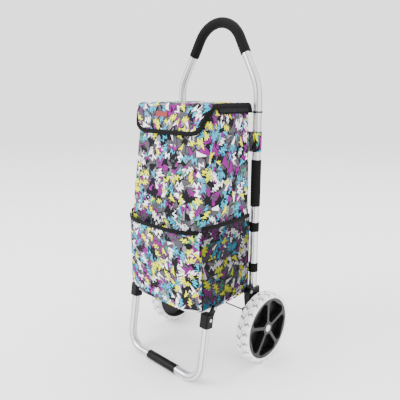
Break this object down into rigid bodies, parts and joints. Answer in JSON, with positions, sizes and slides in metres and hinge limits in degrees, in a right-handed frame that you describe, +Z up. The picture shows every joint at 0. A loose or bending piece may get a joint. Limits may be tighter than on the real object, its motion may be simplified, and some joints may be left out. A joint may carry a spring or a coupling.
{
  "type": "shopping trolley on wheels",
  "caption": "Folding shopping trolley: tall printed fabric bag with flap and pockets on a bent tube frame, with a foam grip, spoked wheels and a U-shaped front stand.",
  "frame": {"origin": "on the ground, at the centre of the footprint between the stand's foot and the back of the wheels", "axes": "+Z up, the bag's front and the stand face -Y, the handle and wheels are at +Y, the wheel axis runs along X"},
  "size_m": [0.395, 0.3375, 0.948],
  "materials": {
    "black_binding": "ribbed tape",
    "black_fabric": "plain woven",
    "black_foam": "matt foam",
    "black_nylon": "moulded, fine grain",
    "black_rubber": "satin",
    "black_steel": "satin black paint",
    "bush_plastic": "turned acetal",
    "grey_board": "pressed board",
    "hook_and_loop": "napped tape",
    "printed_fabric": "woven polyester with an all-over print of coloured shards",
    "printed_mesh": "black mesh over printed polyester",
    "red_label": "plain",
    "rim_plastic": "moulded, satin",
    "satin_aluminium": "satin anodised, drawn with fine ridges",
    "white_cap": "moulded",
    "white_tyre": "foamed EVA, matt",
    "zinc_steel": "zinc plated"
  },
  "bodies": {
    "frame": {"axle_clips": "zinc_steel", "axle_washers": "zinc_steel", "bag_patch": "hook_and_loop", "bag_rim_binding": "black_binding", "bag_shell": "printed_fabric", "bracket_rivets": "zinc_steel", "cross_rod": "black_steel", "front_pocket": "printed_fabric", "front_pocket_binding": "black_binding", "handle_grip": "black_foam", "lower_strap_left": "black_binding", "lower_strap_right": "black_binding", "main_frame_tube": "satin_aluminium", "printed_strap_left": "printed_fabric", "printed_strap_right": "printed_fabric", "rear_bracket_left": "black_nylon", "rear_bracket_right": "black_nylon", "side_pocket_binding_left": "black_binding", "side_pocket_binding_right": "black_binding", "side_pocket_left": "printed_mesh", "side_pocket_right": "printed_mesh", "top_tie_left": "black_binding", "top_tie_right": "black_binding", "tray_pivot_pins": "zinc_steel", "upper_strap_left": "black_binding", "upper_strap_right": "black_binding", "upright_sleeve_left": "black_foam", "upright_sleeve_right": "black_foam", "wheel_axle_left": "zinc_steel", "wheel_axle_right": "zinc_steel"},
    "tray": {"bag_base_board": "grey_board", "stand_pivot_pins": "zinc_steel", "tray_cross_bars": "black_steel", "tray_lug_left": "zinc_steel", "tray_lug_right": "zinc_steel", "tray_tube": "satin_aluminium"},
    "flap": {"flap_binding": "black_binding", "flap_label": "red_label", "flap_panel": "printed_fabric", "flap_patch": "hook_and_loop", "flap_side_left": "black_fabric", "flap_side_right": "black_fabric"},
    "stand": {"foot_sleeve": "black_rubber", "leg_cap_left": "black_nylon", "leg_cap_right": "black_nylon", "leg_cap_rivets": "zinc_steel", "stand_tube": "satin_aluminium"},
    "wheel_left": {"hub_bush_left": "bush_plastic", "hub_cap_left": "white_cap", "rim_left": "rim_plastic", "tyre_left": "white_tyre"},
    "wheel_right": {"hub_bush_right": "bush_plastic", "hub_cap_right": "white_cap", "rim_right": "rim_plastic", "tyre_right": "white_tyre"}
  },
  "joints": [
    {"name": "wheel_spin_left", "type": "hinge", "parent": "frame", "child": "wheel_left", "pos_m": [-0.17825, 0.06875, 0.1], "axis": [1, 0, 0], "continuous": true},
    {"name": "wheel_spin_right", "type": "hinge", "parent": "frame", "child": "wheel_right", "pos_m": [0.17825, 0.06875, 0.1], "axis": [1, 0, 0], "continuous": true},
    {"name": "base_fold", "type": "hinge", "parent": "frame", "child": "tray", "pos_m": [0, 0.04075, 0.207], "axis": [-1, 0, 0], "range_deg": [0, 85], "deforming": ["bag_shell", "bag_rim_binding", "bag_patch", "front_pocket", "front_pocket_binding", "side_pocket_left", "side_pocket_right", "side_pocket_binding_left", "side_pocket_binding_right"]},
    {"name": "stand_fold", "type": "hinge", "parent": "tray", "child": "stand", "pos_m": [0, -0.10825, 0.21], "axis": [1, 0, 0], "range_deg": [0, 92]},
    {"name": "flap_open", "type": "hinge", "parent": "frame", "child": "flap", "pos_m": [0, 0.04975, 0.72], "axis": [1, 0, 0], "range_deg": [-88, 0]}
  ],
  "couplings": [
    {"joint": "stand_fold", "follows": "base_fold", "ratio": 1.08}
  ]
}
